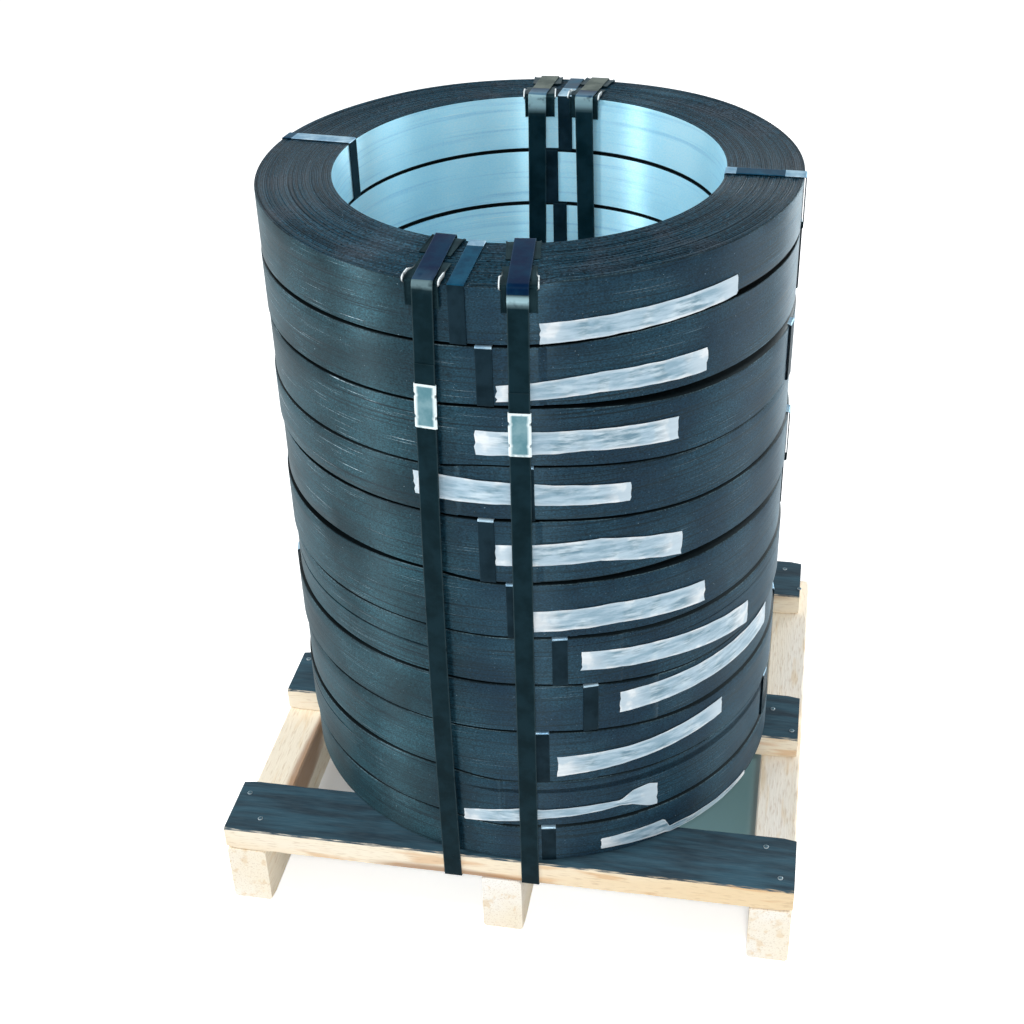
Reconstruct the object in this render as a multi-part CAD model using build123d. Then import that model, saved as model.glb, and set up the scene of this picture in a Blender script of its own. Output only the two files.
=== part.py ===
"""A stack of ribbon-wound steel strapping coils, bound to a small timber pallet.

Millimetres, +Z up. The origin is the middle of the pallet's footprint, on the floor, and -Y is the front.
Angles are in degrees about a coil's axis, from +X towards +Y, so the front is at -90.
"""
from build123d import *
from math import asin, atan2, copysign, cos, degrees, radians, sin, sqrt
import os

os.makedirs("parts", exist_ok=True)

# A coil: one strap wound on itself, so its height is the strap's width. The top coil's outer turns have
# slipped down, so its upper end is dished.
coil_outer_radius = 223.0
winding_depth = 62.5
coil_height = 50.8
turn_relief = 0.5
top_land_count = 7
underside_land_count = 5
top_dish = 3.5

# The narrow straps that keep a coil's turns together.
tie_width = 12.7
tie_thickness = 0.8
tie_slack = 0.3

# The adhesive strip over the tail of a coil's outer turn.
tape_width = 19.0
tape_thickness = 0.2
tape_lift = 0.15

# The straps that bind the stack to the pallet, and the seals on their overlapped ends.
strap_width = 16.0
strap_thickness = 0.8
strap_clearance = 0.4
strap_overlap = 72.0
seal_width = 19.0
seal_length = 39.0
seal_wall = 0.9
seal_slack = 0.1
notch_half_width = 2.2
notch_depth = 1.2

# The bent plates under the binding straps at the top edges.
protector_width = 29.0
protector_thickness = 1.0
protector_gap = 8.5
protector_down_leg = 20.0
protector_lip_height = 4.0
protector_slack = 0.2

# The pallet, as far out as it reaches past the stack.
side_overhang = 37.0
front_overhang = 3.0
back_overhang = 51.0
board_width = 66.0
board_thickness = 25.0
stringer_width = 38.0
stringer_height = 63.0
middle_board_back = 7.0
middle_board_trim = 4.0
back_board_trim = 10.0

# Each coil from the bottom up: its sideways shift, the angles of its four ties, the angles where its
# tape starts and ends, and the height of the tape's middle at each end as a share of the coil's height.
coils = [
    dict(shift=0.8, ties=(-79.0, 12.0, 92.0, 185.0), tape=(-67.0, -49.0), heights=(0.31, 0.28)),
    dict(shift=-1.0, ties=(-100.6, -9.0, 81.0, 170.0), tape=(-97.5, -52.0), heights=(0.21, 0.37)),
    dict(shift=0.6, ties=(-80.0, 9.0, 99.0, 178.0), tape=(-76.6, -34.0), heights=(0.22, 0.26)),
    dict(shift=-1.4, ties=(-68.7, 21.5, 110.0, 193.0), tape=(-62.0, -13.0), heights=(0.37, 0.43)),
    dict(shift=1.2, ties=(-75.9, 14.0, 102.0, 184.5), tape=(-71.3, -26.0), heights=(0.41, 0.33)),
    dict(shift=-0.6, ties=(-84.6, 6.5, 96.5, 172.0), tape=(-80.6, -41.4), heights=(0.28, 0.35)),
    dict(shift=1.0, ties=(-90.2, -1.0, 91.0, 178.0), tape=(-88.3, -49.0), heights=(0.49, 0.24)),
    dict(shift=-0.8, ties=(-81.5, 10.0, 98.0, 186.0), tape=(-104.3, -60.4), heights=(0.47, 0.41)),
    dict(shift=0.4, ties=(-100.5, -9.0, 87.6, 172.0), tape=(-91.5, -50.4), heights=(0.39, 0.36)),
    dict(shift=-0.5, ties=(-88.8, 5.0, 92.8, 180.0), tape=(-86.5, -43.7), heights=(0.25, 0.29)),
    dict(shift=0.0, ties=(-93.6, -1.0, 88.2, 169.0), tape=(-78.0, -36.6), heights=(0.21, 0.24)),
]

# Each binding strap: the side of the stack, how far right of the middle it lies at its top, the gap between
# it and the centre stringer at its foot, and how far its seal is below the top of the stack.
binding_straps = {
    "front_left": dict(side=-1, top_x=-36.0, foot_gap=14.0, seal_drop=105.0),
    "front_right": dict(side=-1, top_x=32.0, foot_gap=1.0, seal_drop=124.0),
    "back_left": dict(side=1, top_x=-18.0, foot_gap=1.5, seal_drop=110.0),
    "back_right": dict(side=1, top_x=30.0, foot_gap=4.0, seal_drop=135.0),
}

# Places that follow from the sizes.
coil_bore_radius = coil_outer_radius - winding_depth
dish_slope = top_dish / winding_depth
protector_top_leg = (winding_depth - protector_gap) / 2
pallet_width = 2 * (coil_outer_radius + side_overhang)
pallet_depth = 2 * coil_outer_radius + front_overhang + back_overhang
front_edge = coil_outer_radius + front_overhang
back_edge = coil_outer_radius + back_overhang
stack_axis_y = (front_overhang - back_overhang) / 2
deck_bottom = stringer_height
deck_top = deck_bottom + board_thickness
coil_pitch = coil_height + tie_thickness
stack_top = deck_top + len(coils) * coil_pitch


def flat_in_bore(width):
    """How far from the axis a flat of this width can lie inside the bore."""
    return sqrt(coil_bore_radius ** 2 - (width / 2) ** 2)


def end_drop(radius, slope):
    """How far below the edge of the bore an end of this slope is at a radius."""
    return slope * (radius - coil_bore_radius)


def end_steps(land_count, face, inward, slope):
    """The stepped outline of a coil's end, from the bore out: every other land of turns is sunk."""
    land_width = winding_depth / land_count
    points = []
    for land in range(land_count):
        height = face + inward * turn_relief * (land % 2)
        near = coil_bore_radius + land * land_width
        points += [(radius, height - end_drop(radius, slope)) for radius in (near, near + land_width)]
    return points


def coil(lower_land_count, upper_land_count, slope):
    """One wound coil, turned about its axis, standing on z = 0, with its upper end sloping down outwards."""
    lower = end_steps(lower_land_count, 0.0, 1, 0.0)
    upper = end_steps(upper_land_count, coil_height, -1, slope)
    section = make_face(Plane.XZ * Polyline(lower + upper[::-1], close=True))
    return revolve(section, Axis.Z)


def bent_strap(plane, points, thickness, width):
    """A flat strap bent round the convex outline of the points, lying on its outside."""
    inside = make_face(plane * Polyline(points, close=True))
    outside = offset(inside, amount=thickness, kind=Kind.INTERSECTION)
    return extrude(outside - inside, amount=width / 2, both=True)


def coil_ties(angles, slope):
    """The ties of one coil, each round its section in a plane through its axis."""
    outer = coil_outer_radius + tie_slack
    inner = flat_in_bore(tie_width) - tie_slack
    tops = [(radius, coil_height - end_drop(radius, slope)) for radius in (outer, inner)]
    section = [(inner, 0), (outer, 0)] + tops
    tie = bent_strap(Plane.XZ, section, tie_thickness, tie_width)
    return Compound(children=[Rot(0, 0, angle) * tie for angle in angles])


def coil_tape(angles, heights):
    """A strip along the outside of a coil, from the first angle and height to the second.

    It is cut from a taller sleeve by a slab that is tilted to the strip's slope.
    """
    start, end = angles
    half_angle = (end - start) / 2
    middle_radius = coil_outer_radius + tape_lift + tape_thickness / 2
    sleeve_height = 2 * coil_height
    slab_side = 3 * coil_outer_radius
    section = Plane.XZ * Pos(middle_radius, 0) * Rectangle(tape_thickness, sleeve_height)
    sleeve = Rot(0, 0, -half_angle) * revolve(section, Axis.Z, revolution_arc=2 * half_angle)
    chord = 2 * middle_radius * sin(radians(half_angle))
    slope = degrees(atan2((heights[1] - heights[0]) * coil_height, chord))
    strip = sleeve & (Rot(slope, 0, 0) * Box(slab_side, slab_side, tape_width))
    middle_height = coil_height * sum(heights) / 2
    return Pos(0, 0, middle_height) * Rot(0, 0, start + half_angle) * strip


def edge_protector(edge, sense):
    """A bent plate on a top edge of the stack, in the XZ plane, with a lip along each side.

    sense is 1 on the outer edge, where the plate turns down outside, and -1 on the edge of the bore.
    Its top leg lies along the slope of the dished end.
    """
    def outline(*points):
        return make_face(Plane.XZ * Polyline([(edge + sense * out, up) for out, up in points], close=True))

    top, down, thick, lip = (protector_top_leg, protector_down_leg, protector_thickness, protector_lip_height)
    rise = sense * dish_slope * top
    inside = [(0, -down), (0, 0), (-top, rise)]
    plate_face = outline(*inside, (-top, rise + thick), (thick, thick), (thick, -down))
    lip_face = outline(*inside, (-top, rise + lip), (0, lip), (lip, 0), (lip, -down))
    plate = extrude(plate_face, amount=protector_width / 2, both=True)
    lip_centre = (protector_width - thick) / 2
    lip_strip = extrude(lip_face, amount=thick / 2, both=True)
    return plate + Pos(0, lip_centre, 0) * lip_strip + Pos(0, -lip_centre, 0) * lip_strip


def protector_turns(strap):
    """How far right of straight back or forward a strap's outer and bore protectors stand, in radians.

    Each is square on its own edge, and the strap crosses the middle of its top leg.
    """
    half_leg = protector_top_leg / 2
    return (
        asin(strap["top_x"] / (coil_outer_radius - half_leg)),
        asin(strap["top_x"] / (bore_plate + half_leg)),
    )


def plate_reach(plate, turn, x):
    """How far from the middle a protector's down leg stands at x, when the leg is turned from square."""
    return (plate - x * sin(turn)) / cos(turn)


def foot_x(strap):
    """How far right of the middle a strap lies under its deck board, beside the centre stringer."""
    return copysign((stringer_width + strap_width) / 2 + strap["foot_gap"], strap["top_x"])


def strap_outline(strap):
    """The inside of a binding strap's loop, as distances from the axis and heights, from its outer top."""
    half = strap_width / 2
    top_x = abs(strap["top_x"])
    widest = max(top_x, abs(foot_x(strap))) + half
    outer_turn, inner_turn = [abs(turn) for turn in protector_turns(strap)]
    outer_plate = plate_reach(coil_outer_radius + protector_thickness, outer_turn, top_x - half)
    inner_plate = plate_reach(bore_plate - protector_thickness, inner_turn, top_x + half)
    outer_top = outer_plate + strap_clearance
    inner_top = inner_plate - strap_clearance
    tie_face = flat_in_bore(tie_width) - tie_slack - tie_thickness
    inner_low = sqrt(tie_face ** 2 - widest ** 2) - strap_clearance
    edge = front_edge if strap["side"] < 0 else back_edge
    over_plate = stack_top + protector_thickness + strap_clearance
    strap_low = deck_bottom - strap_clearance
    return [
        (outer_top, over_plate - end_drop(outer_top, dish_slope)),
        (inner_top, over_plate - end_drop(inner_top, dish_slope)),
        (min(inner_low, inner_top), deck_top),
        (edge - board_width, strap_low),
        (edge, strap_low),
        (edge, deck_top),
    ]


def lean(strap, piece):
    """Moves a piece made over x = 0 so that it lies at the strap's own top and foot."""
    foot = foot_x(strap)
    angle = degrees(atan2(strap["top_x"] - foot, stack_top - deck_bottom))
    return Pos(foot, 0, deck_bottom) * Rot(0, angle, 0) * Pos(0, 0, -deck_bottom) * piece


def on_outer_run(strap, lift, piece):
    """Sets a piece at the seal's height on the outer run of a strap, this far out from its inner face."""
    outline = strap_outline(strap)
    (top_out, top_height), (low_out, low_height) = outline[0], outline[-1]
    slope = atan2(low_out - top_out, top_height - low_height)
    height = stack_top - strap["seal_drop"]
    face = top_out + (top_height - height) * (low_out - top_out) / (top_height - low_height)
    distance = face + lift / cos(slope)
    return Pos(0, strap["side"] * distance, height) * Rot(strap["side"] * degrees(slope), 0, 0) * piece


def binding_strap(strap):
    """One strap round the stack's wall and a deck board, with its ends overlapped at the seal."""
    points = [(strap["side"] * distance, height) for distance, height in strap_outline(strap)]
    loop = bent_strap(Plane.YZ, points, strap_thickness, strap_width)
    upper_end = Box(strap_width, strap_thickness, strap_overlap)
    return lean(strap, loop + on_outer_run(strap, 1.5 * strap_thickness, upper_end))


def strap_seal(strap):
    """A folded sleeve crimped on both ends of a strap, with two notches in each side."""
    both_ends = 2 * strap_thickness
    hollow_width = strap_width + 2 * seal_slack
    hollow_depth = both_ends + 2 * seal_slack
    shell = Box(seal_width, hollow_depth + 2 * seal_wall, seal_length)
    sleeve = shell - Box(hollow_width, hollow_depth, seal_length)
    notch = extrude(Plane.XZ * RegularPolygon(notch_half_width, 4), amount=seal_width / 2, both=True)
    notch_side = seal_width / 2 + notch_half_width - notch_depth
    notch_level = seal_length / 4
    for side in (-notch_side, notch_side):
        for level in (-notch_level, notch_level):
            sleeve -= Pos(side, 0, level) * notch
    return lean(strap, on_outer_run(strap, both_ends / 2, sleeve))


def save(shape, name):
    export_step(shape, os.path.join("parts", name + ".step"))


bore_plate = flat_in_bore(protector_width) - protector_slack

for number, entry in enumerate(coils, start=1):
    base = deck_top + tie_thickness + (number - 1) * coil_pitch
    place = Pos(entry["shift"], stack_axis_y, base)
    lower_land_count = underside_land_count if number == 1 else 1
    upper_land_count, slope = (top_land_count, dish_slope) if number == len(coils) else (1, 0.0)
    save(place * coil(lower_land_count, upper_land_count, slope), f"coil_{number:02d}")
    save(place * coil_ties(entry["ties"], slope), f"coil_{number:02d}_ties")
    save(place * coil_tape(entry["tape"], entry["heights"]), f"coil_{number:02d}_tape")

for name, strap in binding_straps.items():
    save(Pos(0, stack_axis_y, 0) * binding_strap(strap), f"binding_strap_{name}")
    save(Pos(0, stack_axis_y, 0) * strap_seal(strap), f"strap_seal_{name}")
    outer_angle, bore_angle = [strap["side"] * (90 - degrees(turn)) for turn in protector_turns(strap)]
    plates = (("outer", coil_outer_radius, 1, outer_angle), ("bore", bore_plate, -1, bore_angle))
    for end, edge, sense, angle in plates:
        seat = Pos(coils[-1]["shift"], stack_axis_y, stack_top - end_drop(edge, dish_slope))
        save(seat * Rot(0, 0, angle) * edge_protector(edge, sense), f"edge_protector_{name}_{end}")

# Each deck board's middle from front to back, and how much shorter it is cut at its right end.
deck_boards = {
    "front": (-(pallet_depth - board_width) / 2, 0.0),
    "middle": (stack_axis_y + middle_board_back, middle_board_trim),
    "back": ((pallet_depth - board_width) / 2, back_board_trim),
}
for name, (place_y, trim) in deck_boards.items():
    board = Box(pallet_width - trim, board_width, board_thickness)
    save(Pos(-trim / 2, place_y, deck_bottom + board_thickness / 2) * board, f"deck_board_{name}")

stringer_places = {
    "left": -(pallet_width - stringer_width) / 2,
    "centre": 0.0,
    "right": (pallet_width - stringer_width) / 2,
}
for name, place_x in stringer_places.items():
    stringer = Box(stringer_width, pallet_depth, stringer_height)
    save(Pos(place_x, 0, stringer_height / 2) * stringer, f"stringer_{name}")
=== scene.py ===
"""The looks of a strapped stack of steel strapping coils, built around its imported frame.

Metres, +Z up, -Y is the front. Sizes in the tables are millimetres, and angles are degrees about the
stack's axis, from +X towards +Y, so the front is at -90.
"""
import random
from math import atan2, cos, degrees, pi, radians, sin, sqrt

import bmesh
import bpy
from mathutils import Matrix, Vector, noise


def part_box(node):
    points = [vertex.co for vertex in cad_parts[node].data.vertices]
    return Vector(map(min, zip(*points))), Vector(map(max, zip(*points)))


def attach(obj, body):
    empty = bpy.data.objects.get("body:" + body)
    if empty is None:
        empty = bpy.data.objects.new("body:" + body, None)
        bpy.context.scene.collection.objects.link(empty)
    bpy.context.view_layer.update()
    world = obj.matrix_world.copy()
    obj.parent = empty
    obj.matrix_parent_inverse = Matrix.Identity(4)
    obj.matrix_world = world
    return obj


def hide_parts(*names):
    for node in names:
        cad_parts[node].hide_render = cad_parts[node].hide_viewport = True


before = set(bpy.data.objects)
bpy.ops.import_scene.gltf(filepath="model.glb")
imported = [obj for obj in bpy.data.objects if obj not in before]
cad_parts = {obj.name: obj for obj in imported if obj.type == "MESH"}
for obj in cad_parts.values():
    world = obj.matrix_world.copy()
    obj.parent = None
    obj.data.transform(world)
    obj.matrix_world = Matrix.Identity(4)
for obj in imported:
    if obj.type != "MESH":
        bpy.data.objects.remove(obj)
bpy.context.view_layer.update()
MM = 0.001

# The stack's axis, front to back, and the coils. Heights are from the floor.
STACK_Y = -24.0
COIL_COUNT = 11
WALL_RADIUS = 223.0
BORE_RADIUS = 160.5
COIL_HEIGHT = 50.8
COIL_PITCH = 51.6
FIRST_BASE = 88.8
STACK_TOP = 655.6
TURN_THICKNESS = 0.8

# The height of the slanted edge between a coil's ends and its walls: in the bore, and at the lower and the
# upper edge of the outer wall.
BORE_EASE = 1.4
LOWER_EASE = 0.45
UPPER_EASE = 0.5

# Where a coil's outer turn ends, in degrees past the start of its tape, and half the width of that step.
TAIL_PAST_TAPE = 9.0
TAIL_HALF = 0.12

# The deck, and the flat steel of the ties, the binding straps, their seals and the edge protectors.
DECK_TOP = 88.0
DECK_BOTTOM = 63.0
TIE_WIDTH = 12.7
TIE_THICKNESS = 0.8
STRAP_WIDTH = 16.0
STRAP_THICKNESS = 0.8
SEAL_WIDTH = 17.4
SEAL_LENGTH = 37.0
SEAL_WALL = 0.35
PROTECTOR_WIDTH = 29.0
PROTECTOR_LEG = 27.0
PROTECTOR_DROP = 20.0
PROTECTOR_THICKNESS = 1.0
PROTECTOR_LIP = 4.0

# The distance from the stack's axis where a flat protector clears the round wall of the bore, and the
# farthest from the axis that any lip may reach, so that the looks stay in the CAD's box.
PROTECTOR_SEAT = 159.64
FRONT_REACH = 226.1

# How far the binding straps are turned towards the round wall, where 1 is all the way.
STRAP_TURN = 0.5

# How bright the plain edges of ties and straps are rubbed, where 1 is bright.
EDGE_WEAR = 0.06

# Nails: the head's radius, and its section as (share of the radius, height above the board).
NAIL_RADIUS = 2.3
NAIL_SECTION = ((1.0, -0.3), (1.0, 0.25), (0.72, 0.6), (0.3, 0.72))

# The seams between the coils' outer walls, from the bottom up: the seam's height at the left, the front and
# the right, and half its gap there. The outer turns have slipped a few millimetres.
SEAMS = [
    ((133.0, 128.0, 127.0), (2.9, 0.9, 1.4)),
    ((187.0, 181.0, 177.0), (2.5, 0.8, 1.2)),
    ((238.0, 238.0, 227.0), (2.3, 0.9, 1.3)),
    ((290.0, 289.0, 276.0), (1.8, 1.0, 1.8)),
    ((339.5, 338.0, 330.0), (2.3, 0.9, 1.6)),
    ((397.0, 392.0, 390.0), (2.8, 1.2, 4.6)),
    ((452.5, 452.0, 443.0), (2.6, 0.9, 0.9)),
    ((496.0, 501.0, 490.0), (1.3, 0.8, 1.1)),
    ((550.5, 552.5, 545.0), (1.9, 1.1, 4.0)),
    ((601.5, 602.5, 610.0), (1.9, 1.1, 2.8)),
]

# Where an outer turn has slipped and left a narrow groove in its coil's wall: coil, height, and the angles
# where the groove starts and ends.
GROOVES = {2: (172.0, -158.0, -126.0), 5: (316.0, -168.0, -96.0)}
GROOVE_HALF = 0.9
GROOVE_DEPTH = 1.6

# How far below the edge of the bore the top coil's outer edge lies, from the back round by the left to the
# right: angle and drop.
TOP_DROPS = [(-270.0, 6.0), (-225.0, 4.5), (-180.0, 2.0), (-145.0, 1.5), (-118.0, 4.5), (-100.0, 6.3),
             (-83.0, 6.3), (-73.0, 2.2), (-50.0, 0.8), (-10.0, 0.5), (40.0, 2.5), (90.0, 6.0)]

# Each coil from the bottom up: its sideways shift and the angles of its four ties.
COILS = [
    (0.8, (-79.0, 12.0, 92.0, 185.0)),
    (-1.0, (-102.2, -9.0, 81.0, 170.0)),
    (0.6, (-80.0, 9.0, 99.0, 178.0)),
    (-1.4, (-68.7, 21.5, 110.0, 193.0)),
    (1.2, (-75.9, 14.0, 102.0, 184.5)),
    (-0.6, (-84.6, 6.5, 96.5, 172.0)),
    (1.0, (-90.2, -1.0, 91.0, 178.0)),
    (-0.8, (-81.5, 10.0, 98.0, 186.0)),
    (0.4, (-100.5, -9.0, 90.4, 172.0)),
    (-0.5, (-88.8, 5.0, 92.8, 180.0)),
    (0.0, (-93.6, -1.0, 88.2, 169.0)),
]

# How far the painted highlights at the ends of the top coil's ties reach over its end, from the bore and
# from the wall.
BRIGHT_ENDS = {-93.6: (10.0, 0.0), -1.0: (13.0, 10.0), 88.2: (26.0, 0.0), 169.0: (62.0, 0.0)}

# Each coil's tape from the bottom up, as stations along it: angle, lower edge, upper edge.
TAPES = [
    [(-67.0, 95.0, 107.0), (-51.0, 92.0, 108.5), (-49.5, 90.2, 97.0), (-40.0, 90.0, 96.0),
     (-22.0, 90.0, 94.5)],
    [(-97.8, 129.5, 142.0), (-85.2, 135.0, 149.5), (-79.5, 138.0, 148.2), (-67.0, 140.4, 148.8),
     (-61.8, 141.9, 147.9), (-58.8, 139.3, 156.0), (-54.8, 131.6, 158.2), (-52.7, 130.3, 154.6)],
    [(-76.7, 187.6, 209.3), (-57.6, 192.7, 210.0), (-34.6, 199.3, 217.3)],
    [(-62.0, 249.2, 271.1), (-42.0, 248.7, 270.2), (-13.3, 247.0, 269.5)],
    [(-71.4, 302.3, 321.1), (-53.2, 296.0, 315.2), (-26.2, 281.7, 304.9)],
    [(-80.7, 344.5, 364.6), (-62.8, 345.2, 365.4), (-41.6, 337.1, 358.1)],
    [(-88.5, 409.6, 428.8), (-67.1, 410.2, 431.2), (-49.0, 396.9, 418.6)],
    [(-104.4, 467.9, 488.3), (-99.1, 467.0, 489.1), (-81.0, 466.9, 485.9), (-60.5, 461.1, 477.6)],
    [(-91.5, 510.5, 531.5), (-71.0, 512.6, 530.8), (-50.5, 506.2, 525.8)],
    [(-86.7, 556.9, 570.3), (-67.1, 561.1, 577.7), (-43.7, 556.6, 576.4)],
    [(-78.3, 604.4, 620.8), (-59.3, 607.6, 624.2), (-36.5, 610.6, 626.8)],
]

# The foot of a binding strap's loop, under the front or the back deck board, and the radii of its six bends.
FRONT_FOOT = [(160.0, 62.6), (226.0, 62.6), (226.0, 88.0)]
BACK_FOOT = [(208.0, 62.6), (274.0, 62.6), (274.0, 88.0)]
STRAP_BENDS = (4.2, 3.6, 5.0, 2.0, 1.3, 5.0)

# Each binding strap. side is -1 at the front and 1 at the back. top_x, bore_x and foot_x say how far it lies
# to the right of the middle at the wall's top, at the bore's top and at its foot, and bow is how far its run
# down the wall bows. seal_z is the height of its seal. Then comes its spot of painted highlight: how far
# below the top bend that faces the front, half the length of the spot, and how bright. route is the inside
# of its loop, as distances from the stack's axis and heights: the wall's top, the bore's top and foot, and
# the strap's own foot.
STRAPS = {
    "front_left": dict(
        side=-1, top_x=-38.0, bore_x=-35.0, foot_x=-44.0, bow=-3.5, seal_z=550.6, glint_spot=(3.0, 4.5, 0.35),
        route=[(223.2, 651.0), (152.44, 657.4), (151.15, 88.0)] + FRONT_FOOT),
    "front_right": dict(
        side=-1, top_x=31.0, bore_x=24.5, foot_x=27.0, bow=-1.0, seal_z=531.6, glint_spot=(12.0, 4.6, 1.0),
        route=[(223.6, 651.5), (153.5, 657.3), (153.5, 88.0)] + FRONT_FOOT),
    "back_left": dict(
        side=1, top_x=-18.0, bore_x=-19.5, foot_x=-28.5, bow=0.0, seal_z=545.6, glint_spot=(5.0, 14.0, 0.8),
        route=[(224.6, 651.4), (156.39, 657.2), (154.64, 88.0)] + BACK_FOOT),
    "back_right": dict(
        side=1, top_x=29.0, bore_x=23.0, foot_x=31.0, bow=0.0, seal_z=520.6, glint_spot=(4.0, 11.0, 0.65),
        route=[(223.8, 651.4), (153.99, 657.3), (153.99, 88.0)] + BACK_FOOT),
}

# The lamps: place and aim in metres, size across in metres, and power in watts.
LAMPS = {
    "window": ((-2.15, -0.9, 2.4), (0.0, 0.0, 0.35), 0.45, 54.0),
    "flash": ((0.4, -2.3, 2.3), (0.0, 0.0, 0.5), 0.22, 28.0),
    "side": ((2.4, 0.5, 1.2), (0.0, 0.0, 0.5), 1.3, 14.0),
    "rim": ((1.7, 2.1, 0.9), (0.0, 0.0, 0.4), 1.2, 28.0),
}


# Shapes

def smoothstep(low, high, value):
    """A smooth climb from 0 where the value is low to 1 where it is high. Low may be above high."""
    share = min(max((value - low) / (high - low), 0.0), 1.0)
    return share * share * (3 - 2 * share)


def between(low, high, share):
    """The value a share of the way from low to high."""
    return low + (high - low) * share


def wrapped(angle):
    """An angle brought to -270 to 90, so that the front and the right run on without a break."""
    return (angle + 270.0) % 360.0 - 270.0


def top_drop(angle):
    """How far the top coil's outer turns have slipped down at an angle."""
    turned = wrapped(angle)
    for (start, low), (end, high) in zip(TOP_DROPS, TOP_DROPS[1:]):
        if turned <= end:
            return between(low, high, smoothstep(start, end, turned))
    return TOP_DROPS[-1][1]


def seam(index, angle):
    """The middle height and half gap of a seam at an angle. Seams 0 and 11 are the stack's two ends.

    The seams' own heights hold at the left, the front and the right. At the back every seam is level.
    """
    plain = FIRST_BASE + index * COIL_PITCH - TIE_THICKNESS / 2
    if index == 0:
        return FIRST_BASE, 0.0
    if index == COIL_COUNT:
        return STACK_TOP - top_drop(angle), 0.0
    heights, gaps = SEAMS[index - 1]
    turned = wrapped(angle)
    to_right = smoothstep(-85.0, -40.0, turned)
    to_back = max(smoothstep(5.0, 60.0, turned), smoothstep(-170.0, -225.0, turned))
    height = across_front(heights, smoothstep(-88.0, -104.0, turned), to_right)
    gap = across_front(gaps, smoothstep(-104.0, -136.0, turned), to_right)
    return between(height, plain, to_back), between(gap, TIE_THICKNESS, to_back)


def across_front(values, to_left, to_right):
    """A value between those at the left, the front and the right."""
    left, front, right = values
    return between(between(front, right, to_right), left, to_left)


def wall_edges(number, angle):
    """The lower and upper edge of a coil's outer wall at an angle. Coil 1 is at the bottom."""
    low, low_gap = seam(number - 1, angle)
    high, high_gap = seam(number, angle)
    return low + low_gap, high - high_gap


def coil_base(number):
    """The height of a coil's lower end at its bore."""
    return FIRST_BASE + (number - 1) * COIL_PITCH


def on_wall(number, angle, radius, height):
    """A point in metres from an angle, a distance from a coil's own axis, and a height."""
    shift = COILS[number - 1][0]
    turned = radians(angle)
    return Vector((shift + radius * cos(turned), STACK_Y + radius * sin(turned), height)) * MM


def swept_faces(stations, points, closed):
    """Quads of a closed section carried along a path, with capped ends where the path is open."""
    faces = []
    for i in range(stations if closed else stations - 1):
        here = i * points
        there = ((i + 1) % stations) * points
        for j in range(points):
            k = (j + 1) % points
            faces.append((here + j, here + k, there + k, there + j))
    if not closed:
        faces.append(tuple(range(points))[::-1])
        faces.append(tuple(range((stations - 1) * points, stations * points)))
    return faces


def rounded_path(corners, radii, steps, closed=True):
    """The corners of a flat path with each one rounded, as points in its own plane."""
    points = []
    count = len(corners)
    for i, (corner, radius) in enumerate(zip(corners, radii)):
        here = Vector(corner)
        if not closed and i in (0, count - 1):
            points.append(here)
            continue
        back = (Vector(corners[i - 1]) - here).normalized()
        ahead = (Vector(corners[(i + 1) % count]) - here).normalized()
        half_angle = back.angle(ahead) / 2
        reach = radius / max(1e-6, abs(sin(half_angle) / cos(half_angle)))
        centre = here + (back + ahead).normalized() * (radius / sin(half_angle))
        start = here + back * reach - centre
        sweep = start.angle_signed(here + ahead * reach - centre)
        for step in range(steps + 1):
            points.append(centre + Matrix.Rotation(-sweep * step / steps, 2) @ start)
    return points


def divided(points, longest, closed=True):
    """The path with extra points on its long runs."""
    result = []
    count = len(points)
    for i in range(count if closed else count - 1):
        start = points[i]
        end = points[(i + 1) % count]
        parts = max(1, int((end - start).length / longest))
        result += [start.lerp(end, part / parts) for part in range(parts)]
    if not closed:
        result.append(points[-1])
    return result


def strip_section(width, thickness, edge=0.18, rim=1.1):
    """A flat strip's section as (across, out, wear), with eased edges that show wear."""
    w = width / 2
    t = thickness / 2
    return [(-w + edge, -t, 1.0), (-w + rim, -t, 0.0), (w - rim, -t, 0.0), (w - edge, -t, 1.0),
            (w, -t + edge, 1.0), (w, t - edge, 1.0), (w - edge, t, 1.0), (w - rim, t, 0.0),
            (-w + rim, t, 0.0), (-w + edge, t, 1.0), (-w, t - edge, 1.0), (-w, -t + edge, 1.0)]


def section_points(section, centre, across, out):
    """A section's points in metres, set square to its path at one place."""
    return [centre + across * (a * MM) + out * (o * MM) for a, o, _ in section]


def piece(name, vertices, faces, materials, cad_node=None, face_materials=None, wear=None, crisp=35):
    """A mesh object that rides on the stack, stands for a node and takes its finish from a slot."""
    mesh = bpy.data.meshes.new(name)
    mesh.from_pydata([tuple(v) for v in vertices], [], faces)
    for material in materials:
        mesh.materials.append(material)
    if face_materials:
        mesh.polygons.foreach_set("material_index", face_materials)
    if wear:
        layer = mesh.attributes.new("wear", "FLOAT", "POINT")
        layer.data.foreach_set("value", wear)
    outside = bmesh.new()
    outside.from_mesh(mesh)
    bmesh.ops.recalc_face_normals(outside, faces=outside.faces)
    outside.to_mesh(mesh)
    outside.free()
    mesh.polygons.foreach_set("use_smooth", [True] * len(mesh.polygons))
    mesh.set_sharp_from_angle(angle=radians(crisp))
    obj = bpy.data.objects.new(name, mesh)
    bpy.context.scene.collection.objects.link(obj)
    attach(obj, "root")
    if cad_node:
        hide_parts(cad_node)
    return obj


# Materials

def tint(red, green, blue):
    """A colour read off a screen, as the linear colour a shader takes."""
    def linear(channel):
        share = channel / 255
        return share / 12.92 if share <= 0.04045 else ((share + 0.055) / 1.055) ** 2.4
    return (linear(red), linear(green), linear(blue), 1.0)


def node(tree, kind, **settings):
    """A new shader node with its settings."""
    added = tree.nodes.new(kind)
    for key, value in settings.items():
        setattr(added, key, value)
    return added


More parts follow.
